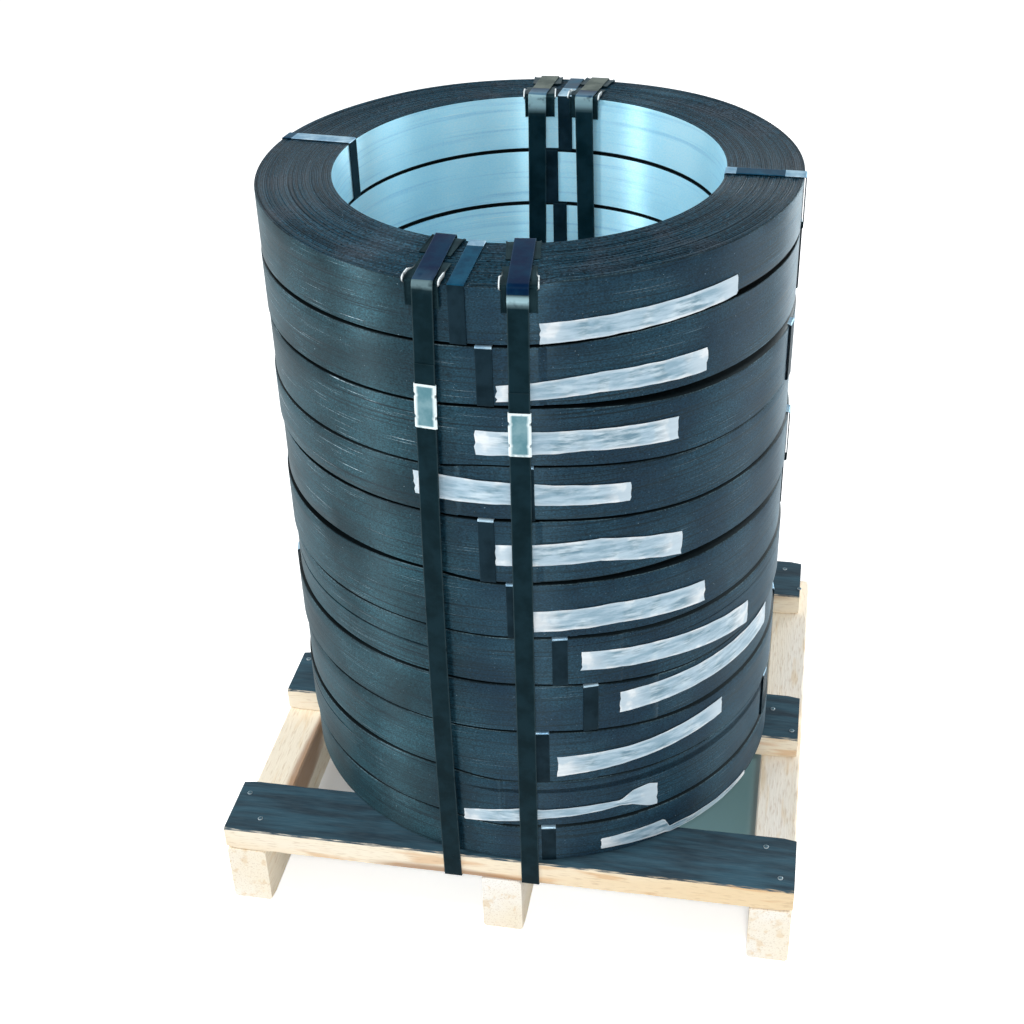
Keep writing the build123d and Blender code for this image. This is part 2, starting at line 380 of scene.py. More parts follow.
def feed(tree, socket, source):
    """Links a socket to an output, or sets it to a plain value."""
    if isinstance(source, bpy.types.NodeSocket):
        tree.links.new(source, socket)
    else:
        socket.default_value = source


def object_place(tree):
    """Where a point lies on its object, in metres."""
    return node(tree, "ShaderNodeTexCoord").outputs["Object"]


def wear_mask(tree):
    """The wear that a mesh carries at its points, from 0 to 1."""
    return node(tree, "ShaderNodeAttribute", attribute_name="wear").outputs["Fac"]


def noise_mask(tree, vector, scale, detail=3.0, roughness=0.5):
    """Cloudy noise from 0 to 1, with more clouds to the metre the larger the scale."""
    texture = node(tree, "ShaderNodeTexNoise")
    feed(tree, texture.inputs["Vector"], vector)
    feed(tree, texture.inputs["Scale"], scale)
    feed(tree, texture.inputs["Detail"], detail)
    feed(tree, texture.inputs["Roughness"], roughness)
    return texture.outputs["Fac"]


def axes(tree, vector):
    """The outputs X, Y and Z of a vector."""
    parts = node(tree, "ShaderNodeSeparateXYZ")
    feed(tree, parts.inputs["Vector"], vector)
    return parts.outputs


def joined(tree, x, y, z):
    """A vector from three values or sockets."""
    vector = node(tree, "ShaderNodeCombineXYZ")
    for axis, value in zip("XYZ", (x, y, z)):
        feed(tree, vector.inputs[axis], value)
    return vector.outputs["Vector"]


def vectors(tree, operation, first, second):
    """A vector made from two, each a fixed (x, y, z) or a socket."""
    made = node(tree, "ShaderNodeVectorMath", operation=operation)
    feed(tree, made.inputs[0], first)
    feed(tree, made.inputs[1], second)
    return made.outputs["Vector"]


def stretched(tree, vector, scale):
    """The vector scaled along each axis."""
    return vectors(tree, "MULTIPLY", vector, scale)


def limits(tree, value, low, high):
    """The value spread from low..high to 0..1 and clamped. Low may be above high."""
    spread = node(tree, "ShaderNodeMapRange", interpolation_type="SMOOTHSTEP")
    feed(tree, spread.inputs["Value"], value)
    spread.inputs["From Min"].default_value = low
    spread.inputs["From Max"].default_value = high
    return spread.outputs["Result"]


def arithmetic(tree, operation, first, second=0.0):
    """One value made from two."""
    made = node(tree, "ShaderNodeMath", operation=operation)
    feed(tree, made.inputs[0], first)
    feed(tree, made.inputs[1], second)
    return made.outputs["Value"]


def times(tree, first, second):
    """Two values multiplied."""
    return arithmetic(tree, "MULTIPLY", first, second)


def blend_colours(tree, share, first, second, blend="MIX"):
    """The second colour laid over the first one by a share."""
    mix = node(tree, "ShaderNodeMix", data_type="RGBA", blend_type=blend)
    feed(tree, mix.inputs["Factor"], share)
    feed(tree, mix.inputs["A"], first)
    feed(tree, mix.inputs["B"], second)
    return mix.outputs["Result"]


def grey(tree, value):
    """A value from 0 to 1 as a grey."""
    colour = node(tree, "ShaderNodeCombineColor")
    for channel in ("Red", "Green", "Blue"):
        feed(tree, colour.inputs[channel], value)
    return colour.outputs["Color"]


def bump(tree, height, distance, strength):
    """A surface normal raised by a height from 0 to 1, over a distance in metres."""
    raised = node(tree, "ShaderNodeBump")
    feed(tree, raised.inputs["Height"], height)
    raised.inputs["Distance"].default_value = distance
    raised.inputs["Strength"].default_value = strength
    return raised.outputs["Normal"]


def new_group(name, given, results):
    """A shader group with one input, given as (name, kind, default), and named outputs of plain values."""
    tree = bpy.data.node_groups.new(name, "ShaderNodeTree")
    label, kind, default = given
    socket = tree.interface.new_socket(label, in_out="INPUT", socket_type=kind)
    socket.default_value = default
    for result in results:
        tree.interface.new_socket(result, in_out="OUTPUT", socket_type="NodeSocketFloat")
    start = node(tree, "NodeGroupInput").outputs[label]
    end = node(tree, "NodeGroupOutput").inputs
    return tree, start, end, object_place(tree)


def rolled_lines_group():
    """Lines along a strap's length, as rolling and handling leave them on a wound coil's wall.

    The scratches gather at the upper left of the stack, partly as handling wear and partly as painted
    highlight where light glints on the lines. Rightness is 0 at its left and 1 at its right.
    """
    tree, per_metre, result, place = new_group(
        "rolled lines", ("Lines per metre", "NodeSocketFloat", 600.0),
        ("Lines", "Scratches_and_glints", "Patches", "Specks", "Grain", "Rightness"))
    where = axes(tree, place)
    lines = noise_mask(tree, stretched(tree, place, joined(tree, 5.0, 5.0, per_metre)), 1.0, 4.0, 0.6)
    finer = noise_mask(tree, stretched(tree, place, (13.0, 13.0, 1500.0)), 1.0, 2.0)
    patches = noise_mask(tree, place, 16.0, 3.0)
    # More bright scratches at the upper left: partly handling wear, partly painted highlight.
    worn_and_lit_side = times(tree, limits(tree, where["X"], 0.02, -0.10), limits(tree, where["Z"], 0.25, 0.5))
    spread = times(tree, limits(tree, patches, 0.42, 0.62),
                   arithmetic(tree, "ADD", times(tree, worn_and_lit_side, 0.8), 0.2))
    feed(tree, result["Lines"], lines)
    feed(tree, result["Patches"], patches)
    feed(tree, result["Scratches_and_glints"], times(tree, limits(tree, finer, 0.64, 0.74), spread))
    feed(tree, result["Rightness"], limits(tree, where["X"], -0.09, 0.02))
    feed(tree, result["Specks"], limits(tree, noise_mask(tree, place, 900.0, 1.0), 0.75, 0.81))
    feed(tree, result["Grain"], noise_mask(tree, stretched(tree, place, (1.0, 1.0, 1.6)), 620.0, 2.0, 0.6))
    return tree


def wound_rings_group():
    """Rings of different darkness across the end of a coil, one for every few turns."""
    tree, per_metre, result, place = new_group(
        "wound rings", ("Rings per metre", "NodeSocketFloat", 900.0),
        ("Rings", "Patches", "Specks", "Grain"))
    centred = vectors(tree, "ADD", place, (0.0, -STACK_Y * MM, 0.0))
    flat = stretched(tree, centred, (1.0, 1.0, 0.0))
    length = node(tree, "ShaderNodeVectorMath", operation="LENGTH")
    feed(tree, length.inputs[0], flat)
    across = times(tree, length.outputs["Value"], per_metre)
    drift = stretched(tree, flat, (5.0, 5.0, 0.0))
    ring_place = vectors(tree, "ADD", drift, joined(tree, 0.0, 0.0, across))
    feed(tree, result["Rings"], noise_mask(tree, ring_place, 1.0, 3.0, 0.65))
    feed(tree, result["Patches"], noise_mask(tree, place, 22.0, 3.0))
    feed(tree, result["Specks"], limits(tree, noise_mask(tree, place, 800.0, 1.0), 0.70, 0.78))
    feed(tree, result["Grain"], noise_mask(tree, place, 480.0, 2.0, 0.6))
    return tree


def board_grain_group():
    """The figure of a sawn board: growth lines, fibres and knots, stretched along its length."""
    tree, stretch, result, place = new_group(
        "board grain", ("Stretch", "NodeSocketVector", (1.0, 1.0, 1.0)),
        ("Growth lines", "Fibres", "Patches", "Knots"))
    along = stretched(tree, place, stretch)
    warp = noise_mask(tree, along, 7.0, 2.0)
    bent = node(tree, "ShaderNodeVectorMath", operation="MULTIPLY_ADD")
    feed(tree, bent.inputs[0], joined(tree, warp, warp, warp))
    feed(tree, bent.inputs[1], (0.05, 0.05, 0.05))
    feed(tree, bent.inputs[2], along)
    feed(tree, result["Growth lines"], noise_mask(tree, bent.outputs["Vector"], 105.0, 2.0, 0.55))
    feed(tree, result["Fibres"], noise_mask(tree, along, 640.0, 2.0))
    feed(tree, result["Patches"], noise_mask(tree, along, 11.0, 3.0))
    feed(tree, result["Knots"], limits(tree, noise_mask(tree, along, 26.0, 0.0), 0.70, 0.77))
    return tree


def worn_edges_group():
    """Where a strip's edges are worn bright and where painted highlights lie, broken up along their length.
    """
    tree, amount, result, place = new_group(
        "worn edges", ("Amount", "NodeSocketFloat", 0.7), ("Worn_and_lit", "Mottle"))
    broken = limits(tree, noise_mask(tree, place, 120.0, 2.0), 0.20, 0.46)
    worn = times(tree, wear_mask(tree), broken)
    feed(tree, result["Worn_and_lit"], times(tree, worn, amount))
    feed(tree, result["Mottle"], noise_mask(tree, place, 55.0, 4.0, 0.6))
    return tree


rolled_lines = rolled_lines_group()
wound_rings = wound_rings_group()
board_grain = board_grain_group()
worn_and_lit_edges = worn_edges_group()


def placed(tree, group, value):
    """A group placed in a material with its one input set."""
    added = node(tree, "ShaderNodeGroup", node_tree=group)
    added.inputs[0].default_value = value
    return added.outputs


def new_material(name, roughness, metallic, sheen=0.5):
    """A material and its tree and shader, with the values that are the same all over set on the shader."""
    material = bpy.data.materials.new(name)
    material.use_nodes = True
    tree = material.node_tree
    shader = tree.nodes["Principled BSDF"]
    shader.inputs["Roughness"].default_value = roughness
    shader.inputs["Metallic"].default_value = metallic
    shader.inputs["Specular IOR Level"].default_value = sheen
    return material, tree, shader


def vary_roughness(tree, shader, value, low, high):
    """Roughness that follows a value from 0 to 1."""
    spread = node(tree, "ShaderNodeMapRange")
    feed(tree, spread.inputs["Value"], value)
    spread.inputs["To Min"].default_value = low
    spread.inputs["To Max"].default_value = high
    feed(tree, shader.inputs["Roughness"], spread.outputs["Result"])


def draw_round(tree, shader, amount):
    """Gloss drawn out across fine lines that run round the stack, as on rolled and wound steel."""
    around = node(tree, "ShaderNodeTangent", direction_type="RADIAL", axis="Z")
    feed(tree, shader.inputs["Tangent"], around.outputs["Tangent"])
    shader.inputs["Anisotropic"].default_value = amount
    shader.inputs["Anisotropic Rotation"].default_value = 0.25


def cool_gloss(shader):
    """A cool tinge on the gloss of dark blue steel."""
    shader.inputs["Specular Tint"].default_value = (0.55, 0.86, 1.0, 1.0)


def wall_steel(name, tones, roughness, metallic, sheen, lines=600.0, drawn=0.0, grainy=0.7, blue_shaded=0.0):
    """Strap steel as a coil's wall shows it: patchy, with fine lines and bright scratches round it.

    The tones are its dark, light, streak and scratch colours.
    """
    dark, light, streak, scratch = [tint(*tone) for tone in tones]
    material, tree, shader = new_material(name, roughness, metallic, sheen)
    marks = placed(tree, rolled_lines, lines)
    patches = blend_colours(tree, limits(tree, marks["Patches"], 0.3, 0.7), dark, light)
    # Towards the stack's right the wall turns darker and bluer: painted shade.
    hued = blend_colours(tree, times(tree, marks["Rightness"], blue_shaded), patches, tint(14, 36, 68))
    lined = blend_colours(tree, limits(tree, marks["Lines"], 0.50, 0.32), hued, streak)
    scratched = blend_colours(tree, times(tree, marks["Scratches_and_glints"], 0.9), lined, scratch)
    specked = blend_colours(tree, times(tree, marks["Specks"], 0.4), scratched, scratch)
    grain = grey(tree, limits(tree, marks["Grain"], 0.25, 0.75))
    feed(tree, shader.inputs["Base Color"], blend_colours(tree, grainy, specked, grain, "OVERLAY"))
    vary_roughness(tree, shader, marks["Lines"], roughness - 0.12, roughness + 0.14)
    feed(tree, shader.inputs["Normal"], bump(tree, marks["Lines"], 0.00035, 0.6))
    cool_gloss(shader)
    if drawn:
        draw_round(tree, shader, drawn)
    return material


def end_steel(name, tones, dust):
    """The edges of the turns on a coil's end, dark with brighter rings and some brown dust."""
    deep, pale = [tint(*tone) for tone in tones]
    material, tree, shader = new_material(name, 0.42, 0.1, 0.15)
    marks = placed(tree, wound_rings, 700.0)
    rings = blend_colours(tree, limits(tree, marks["Rings"], 0.3, 0.72), deep, pale)
    browned = times(tree, limits(tree, marks["Patches"], 0.48, 0.7), dust)
    warm = blend_colours(tree, browned, rings, tint(84, 76, 80))
    specked = blend_colours(tree, times(tree, marks["Specks"], 2 * dust), warm, tint(165, 176, 186))
    grain = grey(tree, limits(tree, marks["Grain"], 0.25, 0.75))
    feed(tree, shader.inputs["Base Color"], blend_colours(tree, 0.85, specked, grain, "OVERLAY"))
    feed(tree, shader.inputs["Normal"], bump(tree, marks["Rings"], 0.0004, 0.5))
    cool_gloss(shader)
    draw_round(tree, shader, 0.8)
    return material


def strip_steel(name, tones, roughness, metallic, wear):
    """A flat steel strip's finish, mottled, with its worn edges and painted highlights brighter."""
    dark, light, edge = [tint(*tone) for tone in tones]
    material, tree, shader = new_material(name, roughness, metallic, 0.06)
    cool_gloss(shader)
    marks = placed(tree, worn_and_lit_edges, wear)
    body = blend_colours(tree, limits(tree, marks["Mottle"], 0.34, 0.66), dark, light)
    feed(tree, shader.inputs["Base Color"], blend_colours(tree, marks["Worn_and_lit"], body, edge))
    vary_roughness(tree, shader, marks["Mottle"], roughness - 0.1, roughness + 0.12)
    feed(tree, shader.inputs["Normal"], bump(tree, marks["Mottle"], 0.0006, 0.35))
    return material


def tape_film():
    """Pale adhesive strip: milky, wrinkled along its length, with darker steel showing faintly through."""
    material, tree, shader = new_material("pale tape", 0.42, 0.0)
    place = object_place(tree)
    wrinkles = noise_mask(tree, stretched(tree, place, (42.0, 42.0, 260.0)), 1.0, 4.0, 0.62)
    patches = noise_mask(tree, place, 60.0, 3.0)
    pale = blend_colours(tree, limits(tree, wrinkles, 0.36, 0.66), tint(104, 140, 158), tint(204, 222, 232))
    colour = blend_colours(tree, times(tree, wear_mask(tree), 0.85), pale, tint(248, 252, 254))
    cloudy = blend_colours(tree, limits(tree, patches, 0.62, 0.45), colour, tint(160, 190, 208))
    feed(tree, shader.inputs["Base Color"], blend_colours(tree, 0.55, colour, cloudy))
    feed(tree, shader.inputs["Normal"], bump(tree, wrinkles, 0.0009, 0.7))
    return material


def sawn_wood(name, stretch, tones, top_stain=None):
    """Sawn softwood, with the upper face stained where a dark and a light stain are given."""
    pale, deep, line = [tint(*tone) for tone in tones]
    material, tree, shader = new_material(name, 0.72, 0.0, 0.2)
    figure = placed(tree, board_grain, stretch)
    body = blend_colours(tree, limits(tree, figure["Patches"], 0.3, 0.7), pale, deep)
    growth = times(tree, limits(tree, figure["Growth lines"], 0.54, 0.68), 0.55)
    lined = blend_colours(tree, growth, body, line)
    knotted = blend_colours(tree, times(tree, figure["Knots"], 0.7), lined, tint(140, 86, 44))
    fibres = times(tree, limits(tree, figure["Fibres"], 0.52, 0.72), 0.28)
    colour = blend_colours(tree, fibres, knotted, tint(176, 134, 88))
    if top_stain:
        dark, light = [tint(*tone) for tone in top_stain]
        up = axes(tree, node(tree, "ShaderNodeNewGeometry").outputs["Normal"])["Z"]
        ragged = arithmetic(tree, "ADD", up, times(tree, figure["Fibres"], 0.5))
        stained = blend_colours(tree, limits(tree, figure["Growth lines"], 0.3, 0.72), dark, light)
        specked = blend_colours(tree, times(tree, figure["Fibres"], 0.12), stained, tint(150, 170, 176))
        colour = blend_colours(tree, limits(tree, ragged, 0.78, 1.02), colour, specked)
    feed(tree, shader.inputs["Base Color"], colour)
    feed(tree, shader.inputs["Normal"], bump(tree, figure["Fibres"], 0.0008, 0.5))
    return material


outer_wall = wall_steel("blued coil wall", ((14, 37, 44), (34, 68, 78), (8, 22, 30), (190, 212, 222)),
                        0.42, 0.2, 0.44, drawn=1.0, blue_shaded=0.38)
# The bevel along each coil wall's upper edge takes a patchy steel, lighter in places: painted highlight of a
# lit ledge.
painted_highlight_rim = wall_steel("rubbed coil edge", ((8, 22, 28), (76, 98, 106), (8, 18, 24), (190, 212, 222)),
                         0.6, 0.0, 0.1)
# The bore wall is near-white blue: the steel's own lighter inner face, made lighter still by painted light
# for the sun that falls into the bore.
bore_wall = wall_steel("bright bore wall",
                       ((178, 232, 250), (196, 241, 255), (168, 221, 243), (246, 253, 255)),
                       0.4, 0.3, 0.5, lines=260.0, drawn=1.0, grainy=0.15)
coil_end = end_steel("wound coil end", ((3, 26, 38), (30, 62, 78)), 0.16)
# The coils' ends inside the seams, and the bevel at the foot of the bore, take a near-black copy of the end
# steel: painted shade.
painted_shade_end = end_steel("shaded coil end", ((1, 4, 6), (4, 9, 12)), 0.0)
tape_pale = tape_film()
board_wood = sawn_wood("stained deck board", (0.12, 1.0, 1.0),
                       ((255, 246, 228), (244, 218, 178), (222, 172, 118)), ((12, 38, 52), (38, 74, 90)))
stringer_wood = sawn_wood("raw stringer wood", (1.0, 0.12, 1.0),
                          ((255, 252, 246), (250, 238, 216), (234, 208, 168)))

# Flat steel: its dark and light colours and the colour of its worn edges and painted highlights, then its
# roughness, its metallic share and how strongly the worn edges and painted highlights show.
STRIP_STEELS = {
    "dark tie steel": (((12, 28, 36), (24, 42, 52), (84, 106, 118)), 0.38, 0.1, 0.3),
    # Bright tie steel is partly painted highlight; blue tie steel is a painted reflection of the sky.
    "bright tie steel": (((110, 146, 172), (170, 198, 214), (234, 242, 246)), 0.3, 0.4, 0.7),
    "blue tie steel": (((6, 50, 74), (22, 76, 102), (130, 166, 190)), 0.36, 0.1, 0.4),
    "black strap steel": (((6, 26, 32), (16, 38, 46), (160, 194, 202)), 0.4, 0.0, 0.95),
    # Blue strap steel is a painted reflection of the sky on the straps' upward faces.
    "blue strap steel": (((0, 24, 54), (4, 42, 68), (110, 150, 172)), 0.4, 0.0, 0.7),
    "dusty strap steel": (((66, 78, 74), (104, 114, 108), (140, 168, 172)), 0.5, 0.0, 0.7),
    "edge plate steel": (((10, 28, 34), (30, 50, 56), (236, 244, 246)), 0.36, 0.2, 1.0),
    "pale seal metal": (((88, 130, 140), (124, 158, 166), (226, 238, 240)), 0.42, 0.45, 1.0),
    "nail head steel": (((70, 96, 108), (118, 142, 152), (232, 240, 242)), 0.3, 0.3, 0.7),
}
steels = {name: strip_steel(name, *finish) for name, finish in STRIP_STEELS.items()}

# The finishes of a coil, a tie and a binding strap, each with the names of its places in the list.
ON_WALL, ON_TOP, IN_BORE, IN_SEAM, ON_RIM = range(5)
COIL_FINISHES = [outer_wall, coil_end, bore_wall, painted_shade_end, painted_highlight_rim]
DARK_TIE, BRIGHT_TIE, BLUE_TIE = range(3)
TIE_FINISHES = [steels["dark tie steel"], steels["bright tie steel"], steels["blue tie steel"]]
BLACK_STRAP, BLUE_STRAP, OLIVE_STRAP = range(3)
STRAP_FINISHES = [steels["black strap steel"], steels["blue strap steel"], steels["dusty strap steel"]]


# Coils

def turn_radii(count, seed):
    """The radii where turns meet on a coil's end, from the bore out, unevenly spaced."""
    chance = random.Random(seed)
    widths = [chance.uniform(0.7, 1.5) for _ in range(count)]
    scale = (WALL_RADIUS - BORE_RADIUS) / sum(widths)
    radii = [BORE_RADIUS]
    for width in widths:
        radii.append(radii[-1] + width * scale)
    return radii


def end_profile(turns, seed, slip, groove):
    """Rings across a coil's end, as (radius, how far below the end's plane), with each turn's own slip."""
    chance = random.Random(seed)
    radii = turn_radii(turns, seed)
    rings = []
    for near, far in zip(radii, radii[1:]):
        width = far - near
        sunk = chance.uniform(0.0, slip)
        rings.append((near + 0.02 * width, sunk + groove))
        rings.append((near + 0.28 * width, sunk))
        rings.append((far - 0.28 * width, sunk))
    rings.append((radii[-1] - 0.35, chance.uniform(0.0, slip) * 0.3))
    return rings


def wall_rows(number):
    """The rows of a coil's outer wall from the bottom up, with its groove where it has one."""
    rows = [("wall", share, 0.0, ON_WALL) for share in (0.0, 0.25, 0.5, 0.75)]
    rows.append(("wall", 1.0, 0.0, ON_RIM))
    if number in GROOVES:
        middle = GROOVES[number][0]
        outside = GROOVE_HALF + 0.1
        rows[2:3] = [("groove", middle + rise, sunk, ON_WALL) for rise, sunk in (
            (-outside, 0.0), (-GROOVE_HALF, GROOVE_DEPTH), (GROOVE_HALF, GROOVE_DEPTH), (outside, 0.0))]
        edges = wall_edges(number, -130.0)
        rows.sort(key=lambda row: row[1] if row[0] == "groove" else between(*edges, row[1]))
    return rows


def coil_rows(number):
    """A coil's section as rows that run round it: kind, place, how deep it is sunk, and finish.

    The place is a radius on the ends, a share of the height on the walls, and a height in a groove. A row's
    finish covers the faces between it and the next row. The stack's two outer ends have the finest turns.
    """
    at_foot = number == 1
    at_top = number == COIL_COUNT
    below = end_profile(40 if at_foot else 12, number, 0.45, 0.4)
    above = end_profile(42 if at_top else 12, number + 50, 0.8 if at_top else 0.45, 0.45)
    rows = [("below", radius, sunk, IN_SEAM) for radius, sunk in below]
    rows += wall_rows(number)
    rows += [("above", radius, sunk, ON_TOP if at_top else IN_SEAM) for radius, sunk in reversed(above)]
    rows += [("bore", 1.0, 0.0, IN_BORE), ("bore", 0.5, 0.0, IN_BORE), ("bore", 0.0, 0.0, IN_SEAM)]
    return rows


def groove_share(number, angle):
    """How deep a coil's groove is at an angle, from 0 to 1, running out at both its ends."""
    _, start, end = GROOVES[number]
    turned = wrapped(angle)
    return smoothstep(start, start + 8.0, turned) * smoothstep(end, end - 14.0, turned)


def row_point(number, row, angle, wall):
    """Where a row lies at an angle. The wall is the coil's lower edge, upper edge and radius there."""
    kind, place, sunk, _ = row
    low, high, radius = wall
    base = coil_base(number)
    if kind == "wall":
        return on_wall(number, angle, radius, between(low + LOWER_EASE, high - UPPER_EASE, place))
    if kind == "groove":
        return on_wall(number, angle, radius - sunk * groove_share(number, angle), place)
    if kind == "bore":
        height = between(base + BORE_EASE, base + COIL_HEIGHT - BORE_EASE, place)
        return on_wall(number, angle, BORE_RADIUS, height)
    share = (place - BORE_RADIUS) / (WALL_RADIUS - BORE_RADIUS)
    dished = number == COIL_COUNT and kind == "above"
    pull = share if dished else share ** 4
    if kind == "below":
        height = between(base, low, pull) + sunk
    else:
        height = between(base + COIL_HEIGHT, high, pull) - sunk
    return on_wall(number, angle, min(place, radius - 0.5), height)


def wound_coil(number):
    """One coil with its turns on both ends and its outer tail a small step down the wall."""
    segments = 288 if number in (1, COIL_COUNT) else 192
    tail = TAPES[number - 1][0][0] + TAIL_PAST_TAPE
    angles = [360.0 * i / segments - 270.0 for i in range(segments)]
    angles = sorted(angles + [tail - TAIL_HALF, tail + TAIL_HALF])
    rows = coil_rows(number)
    vertices = []
    for angle in angles:
        round_from_tail = ((angle - tail) % 360.0) / 360.0
        wall = (*wall_edges(number, angle), WALL_RADIUS - TURN_THICKNESS * (1.0 - round_from_tail))
        vertices += [row_point(number, row, angle, wall) for row in rows]
    faces = swept_faces(len(angles), len(rows), True)
    face_materials = [finish for _, _, _, finish in rows] * len(angles)
    name = f"coil_{number:02d}"
    return piece("wound_" + name, vertices, faces, COIL_FINISHES, name, face_materials,
                 crisp=50)


def strip_loop(name, cad_node, loops, materials, section):
    """Closed strips in one piece. A loop is its stations: centre, across, out, finish and painted highlight
    share.
    """
    vertices, faces, wear, face_materials = [], [], [], []
    for stations in loops:
        first = len(vertices)
        for centre, across, out, finish, painted_glint in stations:
            vertices += section_points(section, centre, across, out)
            wear += [max(worn * EDGE_WEAR, painted_glint) for _, _, worn in section]
            face_materials += [finish] * len(section)
        quads = swept_faces(len(stations), len(section), True)
        faces += [tuple(first + index for index in quad) for quad in quads]
    return piece(name, vertices, faces, materials, cad_node, face_materials, wear, crisp=60)


def loop_frames(points):
    """The outward direction at each point of a flat closed loop that runs clockwise seen with out up."""
    outs = []
    count = len(points)
    for i in range(count):
        run = (points[(i + 1) % count] - points[i - 1]).normalized()
        outs.append(Vector((run.y, -run.x)))
    return outs


def tie_stations(number, angle):
    """One tie round a coil's section, from the bore's foot out, up the wall and back over the top.

    Its bends over the top edges take bright steel, worn bare there and painted highlight as well. On the top
    coil its run over the end takes blue steel as a painted reflection of the sky, with painted highlight
    reaching in from its ends.
    """
    base = coil_base(number)
    low, high = wall_edges(number, angle)
    half = TIE_THICKNESS / 2
    gap, clear = 0.3, 0.05
    inner = sqrt(BORE_RADIUS ** 2 - (TIE_WIDTH / 2) ** 2) - gap - half
    outer = WALL_RADIUS + gap + half
    corners = [(inner, base - half + clear), (outer, low - half - clear), (outer, high + half + clear),
               (inner, base + COIL_HEIGHT + half)]
    path = divided(rounded_path(corners, (1.1,) * 4, 5), 7.0)
    turned = radians(angle)
    radial = Vector((cos(turned), sin(turned), 0.0))
    across = Vector((-sin(turned), cos(turned), 0.0))
    from_bore, from_wall = BRIGHT_ENDS.get(angle, (0.0, 0.0))
    stations = []
    for point, out in zip(path, loop_frames(path)):
        on_wall_bend = point.y > high - 1.2 and point.x > outer - 1.6 and number < COIL_COUNT
        on_end = number == COIL_COUNT and out.y > 0.4
        on_bright = on_end and (point.x < inner + from_bore or point.x > outer - from_wall)
        centre = on_wall(number, angle, point.x, point.y)
        outward = radial * out.x + Vector((0, 0, out.y))
        finish = BRIGHT_TIE if on_wall_bend or on_bright else BLUE_TIE if on_end else DARK_TIE
        stations.append((centre, across, outward, finish, 0.0))
    return stations


def coil_tie_straps(number):
    """The four ties of one coil."""
    loops = [tie_stations(number, angle) for angle in COILS[number - 1][1]]
    name = f"coil_{number:02d}_ties"
    return strip_loop(name + "_bent", name, loops, TIE_FINISHES,
                      strip_section(TIE_WIDTH, TIE_THICKNESS))


def tape_edges(stations, angle):
    """The heights of a tape's lower and upper edge at an angle."""
    for (start, start_low, start_high), (end, end_low, end_high) in zip(stations, stations[1:]):
        if angle <= end or end == stations[-1][0]:
            part = (angle - start) / (end - start)
            return between(start_low, end_low, part), between(start_high, end_high, part)


def sheet_faces(columns, rows):
    """Quads of a thin sheet, given as the points of its front and then of its back, with closed rims."""
    back = (columns + 1) * rows
    faces = []
    for column in range(columns):
        for row in range(rows - 1):
            a = column * rows + row
            faces.append((a, a + rows, a + rows + 1, a + 1))
            faces.append((back + a + 1, back + a + rows + 1, back + a + rows, back + a))
        for row in (0, rows - 1):
            a = column * rows + row
            side = (a, back + a, back + a + rows, a + rows)
            faces.append(side if row == 0 else side[::-1])
    for column in (0, columns):
        for row in range(rows - 1):
            a = column * rows + row
            side = (a, a + 1, back + a + 1, back + a)
            faces.append(side if column == 0 else side[::-1])
    return faces


def tape_strip(number):
    """A coil's tape: crinkled along its length, with ragged ends."""
    chance = random.Random(400 + number)
    stations = TAPES[number - 1]
    rows = 7
    start, end = stations[0][0], stations[-1][0]
    columns = max(24, int(abs(end - start) * 1.6))
    ragged = [[chance.uniform(-0.22, 0.22) for _ in range(rows)] for _ in range(2)]
    front, back, wear = [], [], []
    for column in range(columns + 1):
        angle = between(start, end, column / columns)
        low, high = tape_edges(stations, angle)
        low += 0.5 * noise.noise((angle * 0.31, number, 0.0))
        high += 0.5 * noise.noise((angle * 0.27, number, 5.0))
        for row in range(rows):
            across = row / (rows - 1)
            lifted = 0.34 * abs(noise.noise((angle * 0.55, across * 2.4, number * 3.1)))
            shift = 0.0
            if column in (0, 1):
                shift = ragged[0][row] * (1.0 - 0.5 * column)
            if column in (columns - 1, columns):
                shift = ragged[1][row] * (0.5 + 0.5 * (column - columns + 1))
            height = between(low, high, across)
            front.append(on_wall(number, angle + shift, WALL_RADIUS + 0.28 + lifted, height))
            back.append(on_wall(number, angle + shift, WALL_RADIUS + 0.08, height))
            from_end = min(column, columns - column) / columns
            rim = row in (0, rows - 1) or column in (0, columns)
            wear.append(1.0 if rim else 0.9 * smoothstep(0.16, 0.03, from_end))
    name = f"coil_{number:02d}_tape"
    return piece(name + "_strip", front + back, sheet_faces(columns, rows), [tape_pale], name,
                 wear=wear + wear, crisp=70)


for number in range(1, COIL_COUNT + 1):
    wound_coil(number)
    coil_tie_straps(number)
    tape_strip(number)


# Binding straps, seals and edge protectors

def strap_place(strap, distance, height):
    """A point on a strap's middle line, from its distance from the stack's axis and its height."""
    wall_top, bore_top = strap["route"][0][0], strap["route"][1][0]
    outward = min(max((distance - bore_top) / (wall_top - bore_top), 0.0), 1.0)
    top = between(strap["bore_x"], strap["top_x"], outward)
    rise = min(max((height - DECK_BOTTOM) / (STACK_TOP - DECK_BOTTOM), 0.0), 1.0)
    x = between(strap["foot_x"], top, rise) + strap["bow"] * outward * sin(pi * rise)
    return Vector((x, STACK_Y + strap["side"] * distance, height)) * MM


def strap_turn(strap, distance, height):
    """How far a strap is turned towards the round wall: most near the top, none under the board."""
    x = strap_place(strap, distance, height).x / MM
    full = STRAP_TURN * atan2(x, distance) * smoothstep(DECK_TOP, 420.0, height)
    return Matrix.Rotation(-strap["side"] * full, 3, "Z")


def squared(run, outward):
    """The directions across a strip and out of its face, square to the way it runs."""
    across = run.cross(outward).normalized()
    if across.x < 0:
        across.negate()
    return across, (outward - run * outward.dot(run)).normalized()


